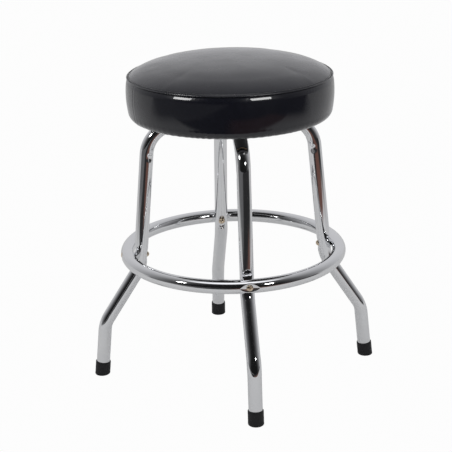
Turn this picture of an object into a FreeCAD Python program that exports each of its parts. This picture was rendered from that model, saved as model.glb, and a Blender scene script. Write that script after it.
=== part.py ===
import FreeCAD, Part
import math
import os
import types
import PartDesign
import Sketcher
from FreeCAD import Placement, Rotation, Vector

# A round swivel stool: a padded drum seat on four bent tube legs with a footrest ring.
# Millimetres, +Z up. The origin is on the floor under the centre of the seat, and the
# legs stand on -Y (front), +X (right), +Y (rear) and -X (left).

LEG_ANGLES = {"front": -90, "right": 0, "rear": 90, "left": 180}
QUARTERS = tuple(LEG_ANGLES.values())
LOCK_ANGLE = 45
BALL_COUNT = 16
STAPLE_COUNT = 32
NUT_SCALLOPS = 12
KNOB_LOBES = 6
UP = Vector(0, 0, 1)

DIMENSIONS = {
    # bent tube legs, as the corners of their centre line before it is rounded
    "tube_radius": 12.7,
    "tube_wall": 1.5,
    "arm_height": 489.4,
    "shoulder_reach": 152.6,
    "knee_reach": 178.4,
    "knee_height": 215.9,
    "ankle_reach": 249.9,
    "ankle_height": 105.3,
    "foot_lean": 5.8,
    "bend_radius": 59.0,
    "tip_wall": 1.6,
    "tip_height": 27.0,
    "tip_floor": 4.0,
    "tip_edge": 1.0,
    "tip_spare": 6.0,
    # footrest ring and the bolts that hold it to the legs
    "ring_radius": 200.9,
    "ring_height": 240.3,
    "dimple_radius": 40.0,
    "dimple_depth": 2.5,
    "ring_bolt_radius": 3.1,
    "ring_head_radius": 6.0,
    "ring_head_rise": 2.8,
    "ring_head_gap": 0.6,
    "ring_shank_gap": 0.1,
    "cap_nut_radius": 6.0,
    "cap_nut_flats": 2.8,
    "cap_nut_rise": 3.0,
    "cap_nut_gap": 0.5,
    "leg_dimple_depth": 2.2,
    # hub that joins the four arms
    "hub_radius": 28.0,
    "hub_bore": 18.0,
    "hub_bottom": 466.0,
    "plate_radius": 60.0,
    "plate_thick": 3.0,
    "hub_bolt_reach": 44.0,
    "hub_bolt_radius": 3.0,
    "hub_hex_radius": 5.1,
    "hub_head_height": 4.0,
    "hub_nut_height": 5.0,
    "hub_bolt_end": 1.5,
    "bolt_gap": 0.05,
    # lifting spindle, its hand nut and its lock
    "spindle_radius": 15.0,
    "spindle_bottom": 459.4,
    "lift_travel": 28.0,
    "running_gap": 0.05,
    "washer_gap": 0.4,
    "washer_thick": 1.2,
    "nut_radius": 27.0,
    "nut_height": 9.0,
    "nut_bevel": 1.2,
    "scallop_radius": 4.5,
    "scallop_reach": 30.0,
    "lock_height": 493.5,
    "lock_radius": 4.0,
    "lock_tip_radius": 2.8,
    "lock_tip_reach": 12.4,
    "lock_hole_gap": 0.1,
    "keyway_side_gap": 0.3,
    "keyway_floor_gap": 0.4,
    "knob_reach": 64.0,
    "knob_radius": 12.5,
    "knob_thick": 13.0,
    "knob_back": 3.0,
    "knob_notch_radius": 4.0,
    "knob_notch_reach": 14.5,
    # ball swivel between the spindle and the seat
    "swivel_bottom": 517.0,
    "race_radius": 47.0,
    "ball_radius": 3.0,
    "race_gap": 3.0,
    "ball_gap": 0.1,
    "cage_inner": 41.0,
    "cage_outer": 51.5,
    "cage_thick": 1.0,
    "race_plate_radius": 52.5,
    "seat_plate_radius": 66.0,
    "stub_radius": 12.0,
    "stub_length": 13.0,
    "groove_rise": 0.2,
    "groove_height": 1.5,
    "groove_depth": 1.0,
    "clip_rise": 0.1,
    "clip_thick": 1.3,
    "clip_width": 5.0,
    "seat_screw_reach": 59.0,
    "seat_screw_radius": 3.0,
    "screw_hole_gap": 0.1,
    "screw_head_top": 3.6,
    "screw_head_radius": 5.0,
    "screw_head_height": 3.0,
    "screw_length": 12.0,
    "tee_recess_radius": 9.5,
    "tee_recess_depth": 1.5,
    "tee_flange_radius": 9.2,
    "tee_flange_thick": 1.4,
    "tee_barrel_radius": 4.1,
    "tee_barrel_length": 8.0,
    "tee_hole_radius": 4.2,
    # seat
    "board_radius": 168.0,
    "board_thick": 12.0,
    "board_hole_radius": 20.0,
    "hoop_thick": 3.0,
    "seat_bottom": 501.0,
    "corner_radius": 16.0,
    "seam_radius": 188.0,
    "seam_height": 578.5,
    "side_bulge": 175.0,
    "crown_height": 613.5,
    "shoulder_radius": 150.0,
    "shoulder_drop": 15.0,
    "shoulder_bend": 83.0,
    "vinyl_thick": 1.2,
    "wrap_height": 19.0,
    "piping_radius": 1.6,
    "piping_gap": 0.05,
    "staple_thick": 0.7,
    "staple_gap": 0.15,
    "staple_width": 11.0,
    "staple_height": 1.2,
    "staple_rise": 13.0,
    "cloth_thick": 0.8,
    "cloth_inner": 68.0,
    "cloth_outer": 165.5,
}

doc = FreeCAD.newDocument("swivel_stool")
sheet = doc.addObject("Spreadsheet::Sheet", "dims")
for row, (alias, number) in enumerate(DIMENSIONS.items(), start=1):
    sheet.set("A%d" % row, alias)
    sheet.set("B%d" % row, str(number))
    sheet.setAlias("B%d" % row, alias)
doc.recompute()


class Size:
    """A length that knows its number and the sheet expression that gives it."""

    def __init__(self, text, number):
        self.text = text
        self.number = number

    def joined(self, sign, other, number):
        return Size("(%s %s %s)" % (self.text, sign, as_size(other).text), number)

    def __add__(self, other):
        return self.joined("+", other, self.number + as_size(other).number)

    def __sub__(self, other):
        return self.joined("-", other, self.number - as_size(other).number)

    def __mul__(self, other):
        return self.joined("*", other, self.number * as_size(other).number)

    def __truediv__(self, other):
        return self.joined("/", other, self.number / as_size(other).number)


def as_size(value):
    return value if isinstance(value, Size) else Size(repr(float(value)), float(value))


def wave(name, angle):
    """Sine, cosine or tangent of an angle in degrees held in the sheet."""
    number = getattr(math, name)(math.radians(angle.number))
    return Size("%s(%s * 1 deg)" % (name, angle.text), number)


def root(value):
    return Size("sqrt(%s)" % value.text, math.sqrt(value.number))


def cap_radius(reach, rise):
    """Radius of the ball whose cap has this reach from the axis and this rise."""
    return (reach * reach + rise * rise) / (rise * 2)


d = types.SimpleNamespace(**{
    alias: Size("dims." + alias, float(sheet.get(alias))) for alias in DIMENSIONS
})
NODES = {}


def bind(obj, **sizes):
    """Tie properties of an object to the sheet; a double underscore stands for a dot."""
    for name, value in sizes.items():
        obj.setExpression(name.replace("__", "."), as_size(value).text)
    return obj


def node(label, shape_object):
    """Name a finished sub-part."""
    shape_object.Label = label
    NODES[label] = shape_object
    return shape_object


def quarter_turn(angle):
    return Placement(Vector(0, 0, 0), Rotation(UP, angle))


# --- sketches --------------------------------------------------------------------------

def new_body(name):
    return doc.addObject("PartDesign::Body", name)


def new_sketch(body, name, plane, offset=None):
    """A sketch on one of the body's own origin planes, moved along its normal."""
    sketch = body.newObject("Sketcher::SketchObject", name)
    origin_plane = [f for f in body.Origin.OriginFeatures if f.Role == plane][0]
    sketch.AttachmentSupport = (origin_plane, [""])
    sketch.MapMode = "FlatFace"
    if offset is not None:
        bind(sketch, AttachmentOffset__Base__z=offset)
    return sketch


def hold(sketch, kind, *where_and_value):
    """Add a dimension to a sketch and tie it to the sheet."""
    where, value = where_and_value[:-1], as_size(where_and_value[-1])
    index = sketch.addConstraint(Sketcher.Constraint(kind, *where, value.number))
    sketch.setExpression("Constraints[%d]" % index, value.text)


def place(sketch, geometry, end, x, y):
    """Hold one point of a sketch at (x, y)."""
    for kind, axis, value in (("DistanceX", -2, as_size(x)), ("DistanceY", -1, as_size(y))):
        if value.number == 0:
            sketch.addConstraint(Sketcher.Constraint("PointOnObject", geometry, end, axis))
        else:
            hold(sketch, kind, -1, 1, geometry, end, value)


def add_circle(sketch, x, y, radius):
    x, y, radius = as_size(x), as_size(y), as_size(radius)
    circle = Part.Circle(Vector(x.number, y.number, 0), UP, radius.number)
    index = sketch.addGeometry(circle, False)
    place(sketch, index, 3, x, y)
    hold(sketch, "Radius", index, radius)


def arc_between(start, end, radius):
    """The short arc from start to end; a positive radius turns left."""
    chord = end - start
    left = Vector(-chord.y, chord.x, 0).normalize()
    rise = math.sqrt(radius * radius - chord.Length ** 2 / 4)
    centre = (start + end) * 0.5 + left * math.copysign(rise, radius)
    first, last = (start, end) if radius > 0 else (end, start)
    from_angle = math.atan2(first.y - centre.y, first.x - centre.x)
    to_angle = math.atan2(last.y - centre.y, last.x - centre.x)
    if to_angle < from_angle:
        to_angle += 2 * math.pi
    circle = Part.Circle(centre, UP, abs(radius))
    return Part.ArcOfCircle(circle, from_angle, to_angle)


def add_outline(sketch, points):
    """A closed outline of (x, y) or (x, y, radius); the radius bends the edge that follows."""
    corners = [Vector(as_size(p[0]).number, as_size(p[1]).number, 0) for p in points]
    ends = []
    for i, point in enumerate(points):
        start, end = corners[i], corners[(i + 1) % len(points)]
        if len(point) == 2:
            index = sketch.addGeometry(Part.LineSegment(start, end), False)
            ends.append((index, 1, 2))
            continue
        radius = as_size(point[2])
        index = sketch.addGeometry(arc_between(start, end, radius.number), False)
        ends.append((index, 1, 2) if radius.number > 0 else (index, 2, 1))
        positive = radius if radius.number > 0 else as_size(0) - radius
        hold(sketch, "Radius", index, positive)
    for i, point in enumerate(points):
        index, first, last = ends[i]
        following = ends[(i + 1) % len(points)]
        sketch.addConstraint(
            Sketcher.Constraint("Coincident", index, last, following[0], following[1]))
        place(sketch, index, first, point[0], point[1])


def tip(body, feature):
    body.Tip = feature
    return feature


def revolve(body, sketch, axis):
    turned = body.newObject("PartDesign::Revolution", sketch.Name + "_turned")
    turned.Profile = sketch
    turned.ReferenceAxis = (sketch, [axis])
    turned.Angle = 360
    return tip(body, turned)


def pad(body, sketch, length):
    padded = body.newObject("PartDesign::Pad", sketch.Name + "_pad")
    padded.Profile = sketch
    bind(padded, Length=length)
    return tip(body, padded)


def pocket_through(body, sketch):
    pocket = body.newObject("PartDesign::Pocket", sketch.Name + "_cut")
    pocket.Profile = sketch
    pocket.Type = "ThroughAll"
    pocket.Midplane = True
    return tip(body, pocket)


def pocket_outward(body, sketch, length=None):
    """Cut along the sketch plane's normal, right through unless a length is given."""
    pocket = body.newObject("PartDesign::Pocket", sketch.Name + "_cut")
    pocket.Profile = sketch
    pocket.Reversed = True
    if length is None:
        pocket.Type = "ThroughAll"
    else:
        bind(pocket, Length=length)
    return tip(body, pocket)


def repeat(body, feature, count):
    pattern = body.newObject("PartDesign::PolarPattern", feature.Name + "_around")
    pattern.Originals = [feature]
    axis = [f for f in body.Origin.OriginFeatures if f.Role == "Z_Axis"][0]
    pattern.Axis = (axis, [""])
    pattern.Angle = 360
    pattern.Occurrences = count
    return tip(body, pattern)


def turned_part(name, outline, angle=None, axis_height=None):
    """A body turned about Z, or about a level line on +X at axis_height, then swung to angle."""
    body = new_body(name)
    sketch = new_sketch(body, name + "_outline", "XZ_Plane")
    if axis_height is None:
        add_outline(sketch, outline)
        revolve(body, sketch, "V_Axis")
    else:
        bind(sketch, AttachmentOffset__Base__y=axis_height)
        add_outline(sketch, outline)
        revolve(body, sketch, "H_Axis")
    if angle is not None:
        body.Placement = quarter_turn(angle)
    return body


def ring_outline(inner, outer, low, high):
    return [(inner, low), (outer, low), (outer, high), (inner, high)]


def drill(body, name, plane, holes, radius, offset=None):
    """Round holes right through a body, square to one of its planes."""
    sketch = new_sketch(body, name, plane, offset)
    for x, y in holes:
        add_circle(sketch, x, y, radius)
    return pocket_through(body, sketch)


def four_ways(reach):
    """The four points at a reach from the centre, one on each leg's line."""
    return [(reach, 0), (as_size(0) - reach, 0), (0, reach), (0, as_size(0) - reach)]


# --- solids from primitives ------------------------------------------------------------

def primitive(kind, name, base=(0, 0, 0), **sizes):
    solid = doc.addObject("Part::" + kind, name)
    bind(solid, **sizes)
    for letter, value in zip("xyz", base):
        bind(solid, **{"Placement__Base__" + letter: value})
    return solid


def cut(name, base, tool):
    result = doc.addObject("Part::Cut", name)
    result.Base = base
    result.Tool = tool
    return result


def fuse(name, shapes):
    result = doc.addObject("Part::MultiFuse", name)
    result.Shapes = shapes
    return result


def group(label, members):
    """Identical pieces kept as separate solids of one sub-part."""
    bundle = doc.addObject("Part::Compound", label)
    bundle.Links = members
    return node(label, bundle)


# --- legs and feet ---------------------------------------------------------------------

arm_top = d.arm_height + d.tube_radius
arm_underside = d.arm_height - d.tube_radius
upper_plate_top = arm_top + d.plate_thick
floor_reach = d.ankle_reach + d.ankle_height * wave("tan", d.foot_lean)
shin_slope = (d.knee_reach - d.shoulder_reach) / (d.arm_height - d.knee_height)
shin_reach_at_ring = d.knee_reach - (d.ring_height - d.knee_height) * shin_slope
leg_dimple_floor = shin_reach_at_ring - d.tube_radius + d.leg_dimple_depth
lower_plate_top = d.swivel_bottom + d.plate_thick
swivel_top = lower_plate_top + d.race_gap + d.plate_thick
board_top = swivel_top + d.board_thick
hoop_outside = d.board_radius + d.hoop_thick
lip_inside = d.seat_bottom + d.vinyl_thick


def add_leg_path(sketch, overrun):
    """Centre line of a leg: straight runs through five corners, joined by tangent bends."""
    end = d.tip_floor - overrun
    corners = [
        (d.hub_bore - overrun, d.arm_height),
        (d.shoulder_reach, d.arm_height),
        (d.knee_reach, d.knee_height),
        (d.ankle_reach, d.ankle_height),
        (floor_reach - end * wave("sin", d.foot_lean), end * wave("cos", d.foot_lean)),
    ]
    at = [Vector(as_size(x).number, as_size(y).number, 0) for x, y in corners]
    marks = []
    for (x, y), point in zip(corners, at):
        index = sketch.addGeometry(Part.Point(point), True)
        place(sketch, index, 1, x, y)
        marks.append(index)
    starts, ends = [at[0]], []
    turns = []
    for before, corner, after in zip(at, at[1:], at[2:]):
        inward = (before - corner).normalize()
        outward = (after - corner).normalize()
        half = inward.getAngle(outward) / 2
        reach = d.bend_radius.number / math.tan(half)
        ends.append(corner + inward * reach)
        starts.append(corner + outward * reach)
        side = inward.cross(outward).z
        turns.append(math.copysign(d.bend_radius.number, -side))
    ends.append(at[-1])
    runs = [sketch.addGeometry(Part.LineSegment(a, b), False) for a, b in zip(starts, ends)]
    for i, turn in enumerate(turns):
        bend = sketch.addGeometry(arc_between(ends[i], starts[i + 1], turn), False)
        first, last = (1, 2) if turn > 0 else (2, 1)
        sketch.addConstraint(Sketcher.Constraint("Tangent", runs[i], 2, bend, first))
        sketch.addConstraint(Sketcher.Constraint("Tangent", bend, last, runs[i + 1], 1))
        hold(sketch, "Radius", bend, d.bend_radius)
    sketch.addConstraint(Sketcher.Constraint("Coincident", runs[0], 1, marks[0], 1))
    sketch.addConstraint(Sketcher.Constraint("Coincident", runs[-1], 2, marks[-1], 1))
    for i, run in enumerate(runs):
        if i > 0:
            sketch.addConstraint(Sketcher.Constraint("PointOnObject", marks[i], 1, run))
        if i < len(runs) - 1:
            sketch.addConstraint(Sketcher.Constraint("PointOnObject", marks[i + 1], 1, run))


def bent_rod(name, radius, overrun=0):
    """A solid round rod along the centre line of a leg on +X."""
    body = new_body(name)
    path = new_sketch(body, name + "_path", "XZ_Plane")
    add_leg_path(path, overrun)
    section = new_sketch(body, name + "_section", "YZ_Plane", d.hub_bore - overrun)
    add_circle(section, 0, d.arm_height, radius)
    doc.recompute()
    pipe = body.newObject("PartDesign::AdditivePipe", name + "_pipe")
    pipe.Profile = section
    pipe.Spine = (path, ["Edge%d" % (i + 1) for i in range(len(path.Shape.Edges))])
    tip(body, pipe)
    doc.recompute()
    return body


def make_leg(side, angle):
    """Bent tube, coped to the hub, pressed flat inside for its nut and dented by the ring."""
    rod = bent_rod("leg_rod_" + side, d.tube_radius)
    drill(rod, "leg_cope_" + side, "XY_Plane", [(0, 0)], d.hub_radius)
    drill(rod, "leg_hub_hole_" + side, "XY_Plane", [(d.hub_bolt_reach, 0)], d.hub_bolt_radius)
    drill(rod, "leg_ring_hole_" + side, "YZ_Plane", [(0, d.ring_height)], d.ring_bolt_radius)
    hollow = bent_rod("leg_hollow_" + side, d.tube_radius - d.tube_wall, 2)
    for body in (rod, hollow):
        body.Placement = quarter_turn(angle)
    presses = []
    for name, radius in (("press", d.dimple_radius),
                         ("press_inside", d.dimple_radius + d.tube_wall)):
        ball = doc.addObject("Part::Sphere", "leg_%s_%s" % (name, side))
        bind(ball, Radius=radius)
        centre = Vector((leg_dimple_floor - d.dimple_radius).number, 0, d.ring_height.number)
        ball.Placement = quarter_turn(angle).multiply(Placement(centre, Rotation()))
        presses.append(ball)
    ring = primitive("Torus", "leg_dent_" + side, (0, 0, d.ring_height),
                     Radius1=d.ring_radius, Radius2=d.tube_radius)
    pressed = cut("leg_pressed_" + side, rod, fuse("leg_press_all_" + side, [presses[0], ring]))
    inside = cut("leg_inside_" + side, hollow, presses[1])
    return node("leg_" + side, cut("leg_tube_" + side, pressed, inside))


def make_tip(side, angle):
    """Rubber cup on the foot of a leg, turned about the foot's line and flat on the floor."""
    outer = d.tube_radius + d.tip_wall
    sole = as_size(0) - d.tip_spare
    body = turned_part("tip_cup_" + side, [
        (0, sole),
        (outer, sole),
        (outer, d.tip_height - d.tip_edge),
        (outer - d.tip_edge, d.tip_height),
        (d.tube_radius, d.tip_height),
        (d.tube_radius, d.tip_floor),
        (0, d.tip_floor),
    ])
    lean = Placement(Vector(floor_reach.number, 0, 0),
                     Rotation(Vector(0, 1, 0), -d.foot_lean.number))
    body.Placement = quarter_turn(angle).multiply(lean)
    below = primitive("Cylinder", "floor_" + side, (0, 0, sole * 3),
                      Height=d.tip_spare * 3, Radius=floor_reach * 2)
    return node("foot_tip_" + side, cut("tip_" + side, body, below))


for side, angle in LEG_ANGLES.items():
    make_leg(side, angle)
    make_tip(side, angle)


# --- footrest ring ---------------------------------------------------------------------

dimple_centre = d.ring_radius + d.tube_radius - d.dimple_depth + d.dimple_radius
dimple_floor = d.ring_radius + d.tube_radius - d.dimple_depth


def ball_presses(name, radius):
    """Four balls that stand outside the ring, one at each leg."""
    balls = []
    for i, (x, y) in enumerate(four_ways(dimple_centre)):
        balls.append(primitive("Sphere", "%s_%d" % (name, i), (x, y, d.ring_height),
                               Radius=radius))
    return fuse(name, balls)


def make_ring():
    """A round tube ring with a pressed flat and a hole at each leg."""
    skin = primitive("Torus", "ring_skin", (0, 0, d.ring_height),
                     Radius1=d.ring_radius, Radius2=d.tube_radius)
    hollow = primitive("Torus", "ring_hollow", (0, 0, d.ring_height),
                       Radius1=d.ring_radius, Radius2=d.tube_radius - d.tube_wall)
    pressed_skin = cut("ring_pressed", skin, ball_presses("press", d.dimple_radius))
    pressed_hollow = cut("ring_pressed_hollow", hollow,
                         ball_presses("press_inside", d.dimple_radius + d.tube_wall))
    tube = cut("ring_tube", pressed_skin, pressed_hollow)
    drills = []
    for i, angle in enumerate(QUARTERS):
        bar = doc.addObject("Part::Cylinder", "ring_drill_%d" % i)
        bind(bar, Radius=d.ring_bolt_radius, Height=d.ring_radius * 1.2)
        bar.Placement = Placement(Vector(0, 0, d.ring_height.number),
                                  Rotation(UP, angle) * Rotation(Vector(0, 1, 0), 90))
        drills.append(bar)
    return node("footrest_ring", cut("ring_drilled", tube, fuse("ring_drills", drills)))


def make_ring_fixings():
    """Domed bolts through the ring and the legs, with acorn nuts on the inside."""
    nut_base = leg_dimple_floor - d.cap_nut_flats - d.cap_nut_gap
    dome_reach = d.cap_nut_radius - d.cap_nut_gap
    head_base = dimple_floor + d.ring_head_gap
    shank = d.ring_bolt_radius - d.ring_shank_gap
    shank_end = nut_base + d.cap_nut_flats * 0.1
    bolts, nuts = [], []
    for i, angle in enumerate(QUARTERS):
        bolts.append(turned_part("ring_bolt_%d" % i, [
            (shank_end, 0),
            (head_base + d.ring_head_rise, 0,
             cap_radius(d.ring_head_radius, d.ring_head_rise)),
            (head_base, d.ring_head_radius),
            (head_base, shank),
            (shank_end, shank),
        ], angle, d.ring_height))
        nut = new_body("ring_nut_%d" % i)
        flats = new_sketch(nut, "ring_nut_flats_%d" % i, "YZ_Plane", nut_base)
        add_circle(flats, 0, d.ring_height, d.cap_nut_radius)
        add_circle(flats, 0, d.ring_height, d.ring_bolt_radius)
        pad(nut, flats, d.cap_nut_flats)
        dome = new_sketch(nut, "ring_nut_dome_%d" % i, "XZ_Plane")
        bind(dome, AttachmentOffset__Base__y=d.ring_height)
        add_outline(dome, [
            (nut_base - d.cap_nut_rise, 0),
            (nut_base, 0),
            (nut_base, dome_reach, cap_radius(dome_reach, d.cap_nut_rise)),
        ])
        revolve(nut, dome, "H_Axis")
        nut.Placement = quarter_turn(angle)
        nuts.append(nut)
    group("ring_bolts", bolts)
    group("ring_cap_nuts", nuts)


make_ring()
make_ring_fixings()


# --- hub -------------------------------------------------------------------------------

def drill_one_side(body, name, radius):
    """A level hole from the centre out along the body's +X at the lock screw's height."""
    sketch = new_sketch(body, name, "YZ_Plane")
    add_circle(sketch, 0, d.lock_height, radius)
    return pocket_outward(body, sketch)


def make_hub():
    """Steel sleeve between two round plates that clamp the four arms."""
    hub = turned_part("hub_sleeve", ring_outline(d.hub_bore, d.hub_radius,
                                                 d.hub_bottom, arm_top))
    hub.Placement = quarter_turn(LOCK_ANGLE)
    drill_one_side(hub, "hub_lock_hole", d.lock_radius + d.lock_hole_gap)
    node("hub_tube", hub)

    bush = turned_part("bush_sleeve", ring_outline(d.spindle_radius + d.running_gap, d.hub_bore,
                                                   d.hub_bottom, arm_top))
    bush.Placement = quarter_turn(LOCK_ANGLE)
    drill_one_side(bush, "bush_lock_hole", d.lock_radius + d.lock_hole_gap)
    node("guide_bush", bush)

    for label, bore, low in (
            ("hub_plate_lower", d.hub_radius, arm_underside - d.plate_thick),
            ("hub_plate_upper", d.spindle_radius + d.washer_gap, arm_top)):
        plate = turned_part(label + "_disc", ring_outline(bore, d.plate_radius,
                                                          low, low + d.plate_thick))
        drill(plate, label + "_holes", "XY_Plane", four_ways(d.hub_bolt_reach),
              d.hub_bolt_radius)
        node(label, plate)

    shank = d.hub_bolt_radius - d.bolt_gap
    nut_low = arm_underside - d.plate_thick - d.hub_nut_height
    bolt_end = nut_low - d.hub_bolt_end
    bolts, nuts = [], []
    for i, (x, y) in enumerate(four_ways(d.hub_bolt_reach)):
        pin = primitive("Cylinder", "hub_shank_%d" % i, (x, y, bolt_end), Radius=shank,
                        Height=upper_plate_top - bolt_end + d.hub_head_height / 2)
        cap = primitive("Prism", "hub_head_%d" % i, (x, y, upper_plate_top),
                        Circumradius=d.hub_hex_radius, Height=d.hub_head_height)
        bolts.append(fuse("hub_bolt_%d" % i, [pin, cap]))
        blank = primitive("Prism", "hub_nut_blank_%d" % i, (x, y, nut_low),
                          Circumradius=d.hub_hex_radius, Height=d.hub_nut_height)
        bore = primitive("Cylinder", "hub_nut_bore_%d" % i, (x, y, bolt_end),
                         Radius=d.hub_bolt_radius, Height=d.hub_nut_height * 2)
        nuts.append(cut("hub_nut_%d" % i, blank, bore))
    group("hub_bolts", bolts)
    group("hub_nuts", nuts)


# --- lifting spindle -------------------------------------------------------------------

def make_spindle():
    """Screw spindle with a closed keyway for the lock screw and a stub for the swivel."""
    stub_top = d.swivel_bottom + d.stub_length
    groove_low = swivel_top + d.groove_rise
    groove_high = groove_low + d.groove_height
    groove_radius = d.stub_radius - d.groove_depth
    spindle = turned_part("spindle_turned", [
        (0, d.spindle_bottom),
        (d.spindle_radius, d.spindle_bottom),
        (d.spindle_radius, d.swivel_bottom),
        (d.stub_radius, d.swivel_bottom),
        (d.stub_radius, groove_low),
        (groove_radius, groove_low),
        (groove_radius, groove_high),
        (d.stub_radius, groove_high),
        (d.stub_radius, stub_top),
        (0, stub_top),
    ])
    doc.recompute()
    half = d.lock_tip_radius + d.keyway_side_gap
    keyway_floor = d.lock_tip_reach - d.keyway_floor_gap
    slot = new_sketch(spindle, "keyway", "YZ_Plane", keyway_floor)
    low = d.lock_height - d.lift_travel
    left = as_size(0) - half
    add_outline(slot, [
        (left, low),
        (half, low),
        (half, d.lock_height),
        (left, d.lock_height),
    ])
    pocket_outward(spindle, slot)
    for i, height in enumerate((low, d.lock_height)):
        end = new_sketch(spindle, "keyway_end_%d" % i, "YZ_Plane", keyway_floor)
        add_circle(end, 0, height, half)
        pocket_outward(spindle, end)
    spindle.Placement = quarter_turn(LOCK_ANGLE)
    node("spindle", spindle)

    clip_low = groove_low + d.clip_rise
    node("retaining_ring", turned_part("retaining_ring_disc", ring_outline(
        groove_radius, d.stub_radius + d.clip_width, clip_low, clip_low + d.clip_thick)))


def make_height_nut():
    """Round hand nut with finger scallops, on a washer above the hub."""
    washer = turned_part("washer_disc", ring_outline(
        d.spindle_radius + d.washer_gap, d.nut_radius - d.nut_bevel,
        upper_plate_top, upper_plate_top + d.washer_thick))
    node("thrust_washer", washer)

    low = upper_plate_top + d.washer_thick
    high = low + d.nut_height
    nut = turned_part("nut_disc", [
        (d.spindle_radius + d.running_gap, low),
        (d.nut_radius - d.nut_bevel, low),
        (d.nut_radius, low + d.nut_bevel),
        (d.nut_radius, high - d.nut_bevel),
        (d.nut_radius - d.nut_bevel, high),
        (d.spindle_radius + d.running_gap, high),
    ])
    doc.recompute()
    scallop = drill(nut, "nut_scallop", "XY_Plane", [(d.scallop_reach, 0)],
                    d.scallop_radius)
    repeat(nut, scallop, NUT_SCALLOPS)
    node("height_nut", nut)


def make_lock():
    """Lock screw with a plain tip in the keyway, and its lobed hand knob."""
    screw_end = d.knob_reach + d.knob_thick - d.knob_back
    screw = turned_part("lock_screw_turned", [
        (d.lock_tip_reach, 0),
        (screw_end, 0),
        (screw_end, d.lock_radius),
        (d.hub_bore, d.lock_radius),
        (d.hub_bore - d.lock_radius / 2, d.lock_tip_radius),
        (d.lock_tip_reach, d.lock_tip_radius),
    ], LOCK_ANGLE, d.lock_height)
    node("lock_screw", screw)

    knob = new_body("knob_lobed")
    face = new_sketch(knob, "knob_face", "XY_Plane")
    add_circle(face, 0, 0, d.knob_radius)
    pad(knob, face, d.knob_thick)
    doc.recompute()
    notch = drill(knob, "knob_notch", "XY_Plane", [(d.knob_notch_reach, 0)],
                  d.knob_notch_radius)
    repeat(knob, notch, KNOB_LOBES)
    doc.recompute()
    bore = new_sketch(knob, "knob_bore", "XY_Plane")
    add_circle(bore, 0, 0, d.lock_radius)
    pocket_outward(knob, bore, d.knob_thick - d.knob_back)
    outward = Placement(Vector(d.knob_reach.number, 0, d.lock_height.number),
                        Rotation(Vector(0, 1, 0), 90))
    knob.Placement = quarter_turn(LOCK_ANGLE).multiply(outward)
    node("lock_knob", knob)


# --- ball swivel -----------------------------------------------------------------------

def make_swivel():
    """Two race plates with balls in a cage between them."""
    groove = d.ball_radius + d.ball_gap
    mid = lower_plate_top + d.race_gap / 2
    lower = turned_part("lower_race_disc", ring_outline(
        d.stub_radius, d.race_plate_radius, d.swivel_bottom, lower_plate_top))
    upper = turned_part("upper_race_disc", ring_outline(
        d.stub_radius + d.running_gap, d.seat_plate_radius,
        swivel_top - d.plate_thick, swivel_top))
    drill(upper, "seat_screw_holes", "XY_Plane", four_ways(d.seat_screw_reach),
          d.seat_screw_radius + d.screw_hole_gap)
    for label, plate in (("swivel_lower_plate", lower), ("swivel_upper_plate", upper)):
        race = primitive("Torus", label + "_race", (0, 0, mid),
                         Radius1=d.race_radius, Radius2=groove)
        node(label, cut(label + "_cut", plate, race))

    cage = turned_part("cage_ring", ring_outline(
        d.cage_inner, d.cage_outer, mid - d.cage_thick / 2, mid + d.cage_thick / 2))
    doc.recompute()
    window = drill(cage, "cage_window", "XY_Plane", [(d.race_radius, 0)], groove)
    repeat(cage, window, BALL_COUNT)
    node("ball_cage", cage)

    balls = []
    for i in range(BALL_COUNT):
        turn = 2 * math.pi * i / BALL_COUNT
        balls.append(primitive(
            "Sphere", "ball_%d" % i,
            (d.race_radius * math.cos(turn), d.race_radius * math.sin(turn), mid),
            Radius=d.ball_radius))
    group("bearing_balls", balls)


# --- seat ------------------------------------------------------------------------------

def make_board():
    """Plywood seat board with its hoop, and the screws and tee nuts of the swivel."""
    board = turned_part("board_disc", ring_outline(d.board_hole_radius, d.board_radius,
                                                   swivel_top, board_top))
    drill(board, "board_screw_holes", "XY_Plane", four_ways(d.seat_screw_reach),
          d.tee_hole_radius)
    doc.recompute()
    recess = new_sketch(board, "tee_recess", "XY_Plane", board_top)
    for x, y in four_ways(d.seat_screw_reach):
        add_circle(recess, x, y, d.tee_recess_radius)
    sunk = board.newObject("PartDesign::Pocket", "tee_recess_cut")
    sunk.Profile = recess
    bind(sunk, Length=d.tee_recess_depth)
    tip(board, sunk)
    node("seat_board", board)

    node("seat_hoop", turned_part("hoop_band", ring_outline(
        d.board_radius, hoop_outside, lip_inside, board_top)))

    screws, tees = [], []
    screw_head_low = swivel_top - d.plate_thick - d.screw_head_height
    flange_low = board_top - d.tee_recess_depth
    barrel_low = flange_low + d.tee_flange_thick / 2 - d.tee_barrel_length
    for i, (x, y) in enumerate(four_ways(d.seat_screw_reach)):
        shank = primitive("Cylinder", "seat_shank_%d" % i,
                          (x, y, screw_head_low + d.screw_head_height / 3),
                          Radius=d.seat_screw_radius - d.bolt_gap, Height=d.screw_length)
        head = primitive("Cone", "seat_head_%d" % i, (x, y, screw_head_low),
                         Radius1=d.screw_head_top, Radius2=d.screw_head_radius,
                         Height=d.screw_head_height)
        screws.append(fuse("seat_screw_%d" % i, [shank, head]))
        flange = primitive("Cylinder", "tee_flange_%d" % i, (x, y, flange_low),
                           Radius=d.tee_flange_radius, Height=d.tee_flange_thick)
        barrel = primitive("Cylinder", "tee_barrel_%d" % i, (x, y, barrel_low),
                           Radius=d.tee_barrel_radius, Height=d.tee_barrel_length)
        thread = primitive("Cylinder", "tee_thread_%d" % i, (x, y, swivel_top),
                           Radius=d.seat_screw_radius, Height=d.board_thick * 2)
        tees.append(cut("tee_nut_%d" % i, fuse("tee_blank_%d" % i, [flange, barrel]), thread))
    group("swivel_screws", screws)
    group("tee_nuts", tees)


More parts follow.
